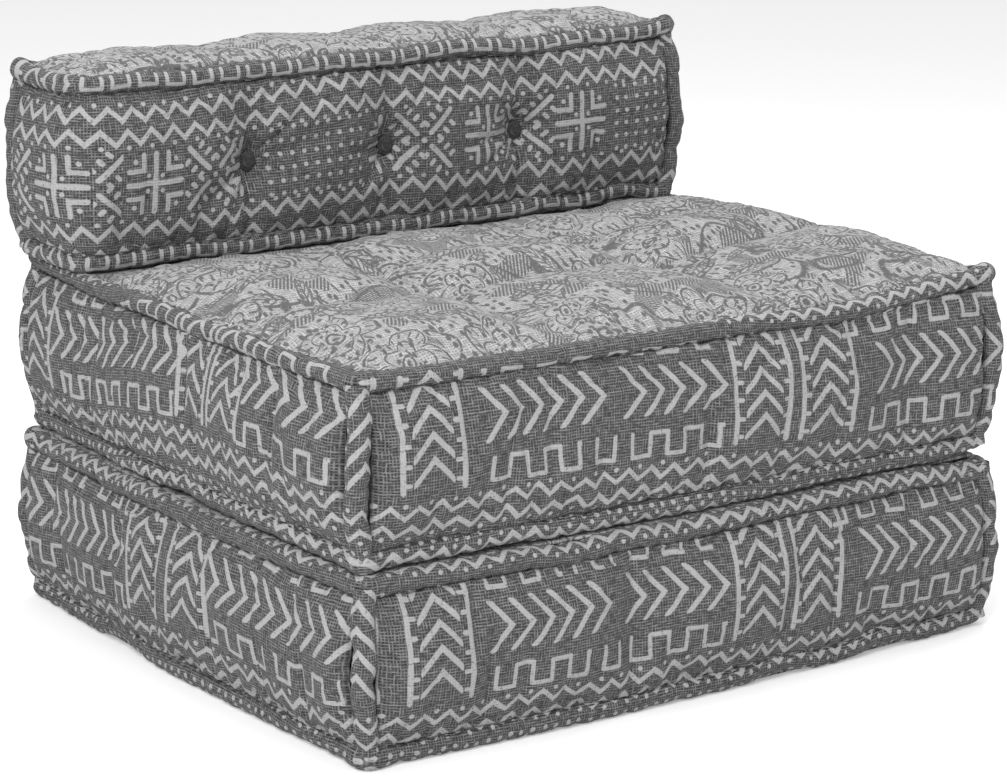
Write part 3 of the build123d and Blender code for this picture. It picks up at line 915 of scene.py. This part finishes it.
# Floral panels
# The tops and undersides are a pale grey cotton printed with blossoms, leaves, hatching and dots in mid grey.
# The seat's top is tied down at two by two tufts, so it stands up in nine pillows with folds between.
panel_light = 0.62
panel_dark = 0.20
panel_ink = 0.11
full_turn = 2 * math.pi


def cells(tree, vector, scale, shift):
    """Way from the middle of the nearest of scattered cells, and a random number for each cell."""
    placed = wire(tree, "ShaderNodeMapping", {0: vector}, {"Location": shift}).outputs[0]
    scatter = wire(
        tree, "ShaderNodeTexVoronoi", {"Vector": placed}, {"Scale": scale, "Randomness": 0.8}, voronoi_dimensions="2D"
    )
    way = wire(tree, "ShaderNodeVectorMath", {0: placed, 1: scatter.outputs["Position"]}, operation="SUBTRACT")
    dx, dy, _ = parts_of(Ink(tree, way.outputs[0]))
    pick, _, _ = parts_of(Ink(tree, scatter.outputs["Color"]))
    return dx, dy, pick


def leaf(tree, vector, scale, shift, half_length, half_width):
    """Leaf outlines that point all ways, each with a midrib and side veins, and where a leaf lies."""
    dx, dy, pick = cells(tree, vector, scale, shift)
    angle = pick * full_turn
    cosine, sine = angle.math("COSINE"), angle.math("SINE")
    along = dx * cosine + dy * sine
    aside = abs(dy * cosine - dx * sine + along * along * 8)
    edge = aside - (along * along * (-half_width / half_length ** 2) + half_width)
    outline = abs(edge).within(1.4 * mm).least(abs(along).within(half_length))
    body = edge.within(0).least(abs(along).within(half_length))
    midrib = aside.within(0.9 * mm).least(abs(along).within(half_length * 0.85))
    veins = ((along + aside).near(6.4 * mm) * 0.7).within(0.75 * mm).least(body)
    return most_of(outline, midrib, veins), body


def floral(u, v):
    """Blossoms and leaves with dots in them, on a ground of hatching in patches."""
    tree = u.tree
    flat = wire(tree, "ShaderNodeCombineXYZ", {0: u.socket, 1: v.socket}).outputs[0]
    sway = noise(tree, flat, 15, 1.5, output="Color")
    bent = wire(
        tree, "ShaderNodeVectorMath", {0: sway.socket, 2: flat}, {1: (0.05, 0.05, 0)}, operation="MULTIPLY_ADD"
    ).outputs[0]
    dx, dy, pick = cells(tree, bent, 9.2, (0, 0, 0))
    radius = dx.span(dy)
    angle = dy.math("ARCTAN2", dx) + pick * full_turn
    rim = abs((angle * 2.5).math("COSINE")) * (14 * mm) + (pick * (13 * mm) + 17 * mm)
    blossom = most_of(
        abs(radius - rim).within(1.2 * mm),
        abs(radius - rim * 0.62).within(0.9 * mm),
        abs(radius - 7 * mm).within(1.2 * mm),
        (angle.near(full_turn / 9) * radius).span(radius - 12.5 * mm).within(1.9 * mm),
        radius.within(3 * mm),
    )
    petals = (angle.near(full_turn / 26) * radius).within(0.9 * mm)
    petals = petals.least((radius - rim * 0.94).within(0)).least((rim * 0.76 - radius).within(0))
    past_rim = radius - rim * 1.1
    patch = noise(tree, flat, 19, 1.5, shift=(5, 0, 0))
    leaves, leaf_body = leaf(tree, bent, 13, (3.1, 1.7, 0), 30 * mm, 11 * mm)
    small_leaves, small_body = leaf(tree, bent, 21, (8.2, 4.4, 0), 16 * mm, 6.5 * mm)
    ground = (past_rim * -1).within(0).least(leaf_body * -1 + 1).least(small_body * -1 + 1)
    lean = noise(tree, flat, 8, 0, shift=(2, 9, 0)).math("ROUND") * 1.9 - 0.6
    hatch = (u + v * lean).near(3.6 * mm).within(1.1 * mm)
    hatch = hatch.least((patch * -1).within(-0.56, 0.01)).least(ground)
    dots_x, dots_y, dot_pick = cells(tree, flat, 105, (1.3, 2.9, 0))
    dots = dots_x.span(dots_y * 0.6).within(1.9 * mm).least((dot_pick * -1).within(-0.25, 0.01))
    dots = dots.least(patch.within(0.54, 0.01))
    ticks_x, ticks_y, tick_pick = cells(tree, flat, 55, (6.1, 0.4, 0))
    ticks = (ticks_x + ticks_y * 0.3).span(ticks_y * 0.22).within(1.3 * mm)
    ticks = ticks.least((tick_pick * -1).within(-0.30, 0.01))
    stems = abs(noise(tree, flat, 16, 0.5, shift=(7, 3, 0)) - 0.47).within(0.012, 0.012)
    outside = (past_rim * -1).within(0)
    return most_of(
        blossom, petals, hatch, leaves.least(outside), small_leaves.least(ground.most(small_body)).least(outside),
        dots, ticks.least(ground), stems.least(ground),
    )


panel_cloth = cloth_material("panel_cloth", floral, 6, panel_light, panel_dark, panel_ink, relief=0.35, wander=1 * mm)


def dips(x, tufts, half):
    """Distance from the nearest line of tufts or edge, as a share of the half way between two of them."""
    lines = [-half, *tufts, half]
    share = np.zeros_like(x)
    for start, end in zip(lines, lines[1:]):
        inside = (x >= start) & (x <= end)
        share = np.where(inside, 1 - np.abs(2 * (x - start) / (end - start) - 1), share)
    return share


def panel_plan(cushion, inset, cell):
    """Plan of a bowed panel as a grid: shares across and along, and their places."""
    half_x, half_y = cushion.half_length - inset, cushion.half_width - inset
    columns, rows = int(2 * half_x / cell), int(2 * half_y / cell)
    a, b = np.meshgrid(np.linspace(-1, 1, columns), np.linspace(-1, 1, rows))
    x = a * (half_x + 2 * cushion.half_width * cushion.bow_share * (1 - b ** 2))
    y = b * (half_y + 2 * cushion.half_length * cushion.bow_share * (1 - a ** 2))
    near = (1 - a) * (1 - b) / 4
    return half_x, half_y, a, b, x + near * cushion.near_shift[0], y + near * cushion.near_shift[1]


def panel_piece(cushion, name, level, up, x, y, z):
    """Cloth panel with a height over each place in its plan."""
    x, y = x + cushion.middle_x, y + cushion.middle_y
    points = np.stack([x, y, level + up * z + (cushion.raised(x, y) if level == cushion.high else 0)], 2)
    if up < 0:
        points = points[:, ::-1]
    return grid_piece(f"{name}_cloth", points, points[:, :, :2].copy(), panel_cloth), points


def flat_panel(cushion, name, high):
    """Panel that lies flat against its neighbour."""
    *_, x, y = panel_plan(cushion, 1.25 * cushion.roll, 12 * mm)
    level = cushion.high if high else cushion.low
    return cushion, panel_piece(cushion, name, level, 1 if high else -1, x, y, 0 * x - 0.001)[0], name


tuft_columns = (-132 * mm, 98 * mm)
tuft_rows = (-80 * mm, 40 * mm)
tufts = [(x, y) for x in tuft_columns for y in tuft_rows]
seat_crest = 19 * mm
seat_valley = -1 * mm
seat_rim = -3 * mm
tuft_floor = -9 * mm
seat_folds = 12, 0.042, 0.0095
seat_puckers = 0.024, 0.022, 0.0062
back_top_puckers = 0.022, 0.018, 0.005
bed_start = back.middle_y - back.half_width - 17 * mm


def seat_top():
    """The upper seat's top: nine pillows with folds between, funnels to the tufts, and the back's flat bed."""
    half_x, half_y, a, b, x, y = panel_plan(upper, 1.15 * upper.top_roll, cloth_cell)
    along = dips(x + ripple(y, 0 * y, 0.13, 72) * 0.006, tuft_columns, half_x + 8 * mm)
    across = dips(y + ripple(x, 0 * x, 0.15, 73) * 0.005, tuft_rows, half_y + 8 * mm)
    round_x = 1 - (1 - along) ** 3
    round_y = 1 - (1 - across) ** 3
    crown = round_x * round_y
    weighed = np.clip((y - 0.055) / (bed_start - 0.055), 0, 1)
    rise = (seat_crest - seat_valley) * (1 - 0.85 * eased(weighed))
    z = seat_valley * (1 - weighed) + rise * np.minimum(round_x, round_y) ** 0.9 * (0.55 + 0.45 * crown)
    from_edge = np.minimum(half_x * (1 - np.abs(a)), half_y * (1 - np.abs(b)))
    at_edge = np.sqrt(1 - (1 - np.clip(from_edge / 0.055, 0, 1)) ** 2)
    z = seat_rim + (z - seat_rim) * at_edge
    z = z + ripple(x, y, 0.12, 71) * 0.0022 * crown + ripple(x, y, 0.045, 74) * 0.0008
    held = sewn_edges(*x.shape)
    for count, (tuft_x, tuft_y) in enumerate(tufts):
        dx, dy = x - tuft_x, y - tuft_y
        away = np.hypot(dx, dy)
        z = z + star_folds(dx, dy, *seat_folds, 80 + count)
        z = z - 0.006 * np.exp(-((away / 0.042) ** 2))
        z = tuft_floor + (z - tuft_floor) * (1 - np.exp(-((away / 0.019) ** 2)))
        held[away < button_radius] = 1
    edges = ((1 - b, x, half_y), (1 + b, x, half_y), (1 - a, y, half_x), (1 + a, y, half_x))
    for count, (share, run, side) in enumerate(edges):
        z = z + puckers(run, share * side, *seat_puckers, 90 + 3 * count)
    under = eased(np.clip((y - bed_start) / 0.010, 0, 1))
    z = z * (1 - under) - 0.001 * under
    held[under > 0.6] = 1
    piece, points = panel_piece(upper, "upper_top_panel", upper.high, 1, x, y, z)
    stuff(piece, points, held, slack=0.04, push=3.0, cap=5 * mm)
    return upper, piece, "upper_top_panel"


def back_top():
    """The back cushion's top: pillows that stand up between the folds from its buttons."""
    half_x, half_y, a, b, x, y = panel_plan(back, 1.15 * back.top_roll, cloth_cell)
    along = dips(x + ripple(y, 0 * y, 0.09, 75) * 0.008, back_columns, half_x + 6 * mm)
    crown = 0.35 + 0.65 * (1 - (1 - along) ** 2.2)
    from_edge = np.minimum(half_y * (1 - np.abs(b)), half_x * (1 - np.abs(a)))
    at_edge = np.sqrt(1 - (1 - np.clip(from_edge / 0.035, 0, 1)) ** 2)
    z = -0.002 + 0.009 * crown * at_edge
    z = z + ripple(x, y, 0.07, 76) * 0.0014 * at_edge
    z = z + puckers(x, half_y * (1 - b), *back_top_puckers, 77)
    z = z + puckers(x, half_y * (1 + b), *back_top_puckers, 78)
    piece, points = panel_piece(back, "back_top_panel", back.high, 1, x, y, z)
    stuff(piece, points, sewn_edges(*x.shape), slack=0.04, push=3.0, cap=5 * mm)
    return back, piece, "back_top_panel"


panels = [
    seat_top(),
    back_top(),
    flat_panel(lower, "lower_top_panel", True),
    flat_panel(lower, "lower_bottom_panel", False),
    flat_panel(upper, "upper_bottom_panel", False),
    flat_panel(back, "back_bottom_panel", False),
]

# Filling out the covers
# Every cover is blown out a little by its stuffing between its seams and tufts, all at once.
settle_frames = 20
for step in range(1, settle_frames + 1):
    bpy.context.scene.frame_set(step)
graph = bpy.context.evaluated_depsgraph_get()
settled = {}
for piece, start, cap in stuffed:
    shape = piece.evaluated_get(graph).to_mesh()
    places = np.empty(len(shape.vertices) * 3)
    shape.vertices.foreach_get("co", places)
    settled[piece.name] = places.reshape(-1, 3)
for piece, start, cap in stuffed:
    move = settled[piece.name] - start
    size = np.linalg.norm(move, axis=1)
    move *= (np.minimum(size, cap) / np.maximum(size, 1e-9))[:, None]
    piece.data.vertices.foreach_set("co", (start + move).ravel())
for piece, start, cap in stuffed:
    piece.modifiers.remove(piece.modifiers["stuffing"])
    piece.data.update()
bpy.context.scene.frame_set(1)


def dress(piece, body, slot_name, *nodes, fill=None, thick=True):
    """Give a cover its thickness, tie it to its body and hide the solids it stands for; its slot is not used."""
    if thick:
        wall = piece.modifiers.new("wall", "SOLIDIFY")
        wall.thickness = cloth_depth
        wall.offset = -1
    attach(piece, body)
    if nodes:
        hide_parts(*nodes)


for seat, piece, node in seat_bands:
    dress(piece, seat.body, "print_cloth", node, fill=0.8)
for piece, node in back_strips:
    dress(piece, back.body, "print_cloth", node, fill=0.75)
for seat, piece, node in panels:
    dress(piece, seat.body, "panel_cloth", node, fill=0.75)
for seat, piece, node in rolls:
    dress(piece, seat.body, "print_cloth", node, fill=0.8, thick=False)
for seat, pieces in corner_pieces:
    for piece in pieces:
        dress(piece, seat.body, "print_cloth", f"{seat.name}_corner_rolls", fill=0.8, thick=False)

# Hand stitches
# Dark waxed thread sews each rolled edge through by hand, one row against the panel and one against the band.
# The short even stitches sink deep into the seams, where little of them shows.
stitch_sizes = {"Stitch spacing": 13 * mm, "Stitch length": 8 * mm, "Thread thickness": 1.5 * mm}


def plain_material(name, grey, scale, warm=(1, 1, 1)):
    """Matt material with an uneven tone."""
    material, tree, shader = new_material(name, {"Roughness": 0.95})
    where = wire(tree, "ShaderNodeTexCoord").outputs["Object"]
    grain = wire(tree, "ShaderNodeTexNoise", {"Vector": where}, {"Scale": scale})
    ramp = wire(tree, "ShaderNodeValToRGB", {"Fac": grain.outputs["Fac"]})
    for stop, strength in zip(ramp.color_ramp.elements, (0.8, 1)):
        stop.color = (*[strength * grey * part for part in warm], 1)
    tree.links.new(ramp.outputs["Color"], shader.inputs["Base Color"])
    return material


dark_thread = plain_material("dark_thread", 0.045, 900)
sewing = bpy.data.node_groups.new("hand_sewing", "GeometryNodeTree")
sewing.interface.new_socket("Seam", in_out="INPUT", socket_type="NodeSocketGeometry")
for name in stitch_sizes:
    sewing.interface.new_socket(name, in_out="INPUT", socket_type="NodeSocketFloat")
sewing.interface.new_socket("Seed", in_out="INPUT", socket_type="NodeSocketInt")
sewing.interface.new_socket("Stitches", in_out="OUTPUT", socket_type="NodeSocketGeometry")
given = wire(sewing, "NodeGroupInput").outputs
line = wire(sewing, "GeometryNodeMeshToCurve", {"Mesh": given["Seam"]})
steps = wire(
    sewing, "GeometryNodeResampleCurve", {"Curve": line.outputs[0], "Length": given["Stitch spacing"]}, mode="LENGTH"
)
bead = wire(sewing, "GeometryNodeMeshUVSphere", values={"Segments": 6, "Rings": 4, "Radius": 0.5})
way = wire(sewing, "GeometryNodeInputTangent")
turn = wire(sewing, "FunctionNodeAlignRotationToVector", {"Vector": way.outputs[0]}, axis="X")
uneven = wire(sewing, "FunctionNodeRandomValue", {"Seed": given["Seed"]}, {2: 0.75, 3: 1.15})
stretch = wire(sewing, "ShaderNodeMath", {0: given["Stitch length"], 1: uneven.outputs[1]}, operation="MULTIPLY")
thread = given["Thread thickness"]
size = wire(sewing, "ShaderNodeCombineXYZ", {"X": stretch.outputs[0], "Y": thread, "Z": thread})
placed = wire(sewing, "GeometryNodeInstanceOnPoints", {
    "Points": steps.outputs[0], "Instance": bead.outputs["Mesh"],
    "Rotation": turn.outputs[0], "Scale": size.outputs[0],
})
real = wire(sewing, "GeometryNodeRealizeInstances", {"Geometry": placed.outputs["Instances"]})
smooth = wire(sewing, "GeometryNodeSetShadeSmooth", {"Geometry": real.outputs[0]})
finish = wire(sewing, "GeometryNodeSetMaterial", {"Geometry": smooth.outputs[0]}, {"Material": dark_thread})
wire(sewing, "NodeGroupOutput", {"Stitches": finish.outputs[0]})
for seed, (body, lines) in enumerate(seam_lines.items(), 1):
    corners, edges = [], []
    for line in lines:
        first = len(corners)
        corners += line.tolist()
        edges += [(first + step, first + (step + 1) % len(line)) for step in range(len(line))]
    seam = bpy.data.meshes.new(f"{body}_stitches")
    seam.from_pydata(corners, edges, [])
    stitches = bpy.data.objects.new(f"{body}_stitches", seam)
    bpy.context.scene.collection.objects.link(stitches)
    maker = stitches.modifiers.new("sewing", "NODES")
    maker.node_group = sewing
    inputs = {**stitch_sizes, "Seed": seed}
    for socket in sewing.interface.items_tree:
        if socket.in_out == "INPUT" and socket.name in inputs:
            maker[socket.identifier] = inputs[socket.name]
    graph = bpy.context.evaluated_depsgraph_get()
    sewn = bpy.data.meshes.new_from_object(stitches.evaluated_get(graph))
    stitches.modifiers.remove(maker)
    stitches.data = sewn
    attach(stitches, body)

# Covered buttons
# Domed discs in plain dark cotton, drawn tight over a metal cap, with small pleats gathered under the rim.
button_cloth = cloth_material("button_cloth", lambda u, v: u * 0, 7, light=0.11, dark=0.03)


def button(name, place, outward, body, node):
    """One covered button, sat in its tuft with its dome facing out."""
    outward = Vector(outward)
    side = outward.orthogonal().normalized()
    up = outward.cross(side)
    rings = [(0.0, 5.4), (3.8, 5.1), (6.8, 4.2), (9.0, 2.7), (10.0, 1.0), (9.3, -0.6), (6.2, -1.4), (0.0, -1.4)]
    turn = np.linspace(0, 2 * math.pi, 29)
    points = np.zeros((len(rings), len(turn), 3))
    for row, (radius, height) in enumerate(rings):
        pleat = 1 + 0.03 * np.cos(turn * 14) * (height < 3)
        for column, angle in enumerate(turn):
            spot = Vector(place) + outward * (height * mm)
            spot += (side * math.cos(angle) + up * math.sin(angle)) * (radius * mm * pleat[column])
            points[row, column] = spot
    places = np.stack(np.broadcast_arrays(turn[None, :] * 0.006, np.arange(len(rings))[:, None] * 0.002), 2)
    piece = grid_piece(name, points, places, button_cloth)
    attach(piece, body)
    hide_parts(node)


def vertex_places(piece):
    """Places of all the points of a piece's cloth."""
    places = np.empty(len(piece.data.vertices) * 3)
    piece.data.vertices.foreach_get("co", places)
    return places.reshape(-1, 3)


seat_places = vertex_places(panels[0][1])
for count, (x, y) in enumerate(tufts, 1):
    nearest = seat_places[np.argmin(np.hypot(seat_places[:, 0] - x, seat_places[:, 1] - y))]
    button(f"seat_button_{count}", (x, y, nearest[2] + 1.4 * mm), (0, 0, 1), upper.body, "upper_top_buttons")
back_middle = (back.low_seam + back.high_seam) / 2 - 3 * mm
for hand, word, (strip, _) in ((-1, "front", back_strips[0]), (1, "rear", back_strips[1])):
    places = vertex_places(strip)
    facing = places[np.abs(places[:, 1] - (back.middle_y + hand * back.half_width)) < 0.03]
    for count, x in enumerate(back_columns, 1):
        nearest = facing[np.argmin(np.hypot(facing[:, 0] - x, facing[:, 2] - back_middle))]
        place = (x, nearest[1] + hand * 1.4 * mm, back_middle)
        button(f"{word}_button_{count}", place, (0, hand, 0), back.body, f"back_{word}_buttons")

# Hidden pieces
# The stuffing is loose cotton, the ties are waxed twine, and the buttons between the cushions are covered too.
hidden = {
    "filling": plain_material("stuffing_cotton", 0.75, 90, (1, 0.96, 0.88)),
    "twine": plain_material("waxed_twine", 0.5, 700, (1, 0.9, 0.75)),
    "buttons": plain_material("plain_dark_cotton", 0.05, 800),
}
for name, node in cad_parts.items():
    material = hidden.get(name.split("_")[-1])
    if material:
        node.data.materials.clear()
        node.data.materials.append(material)
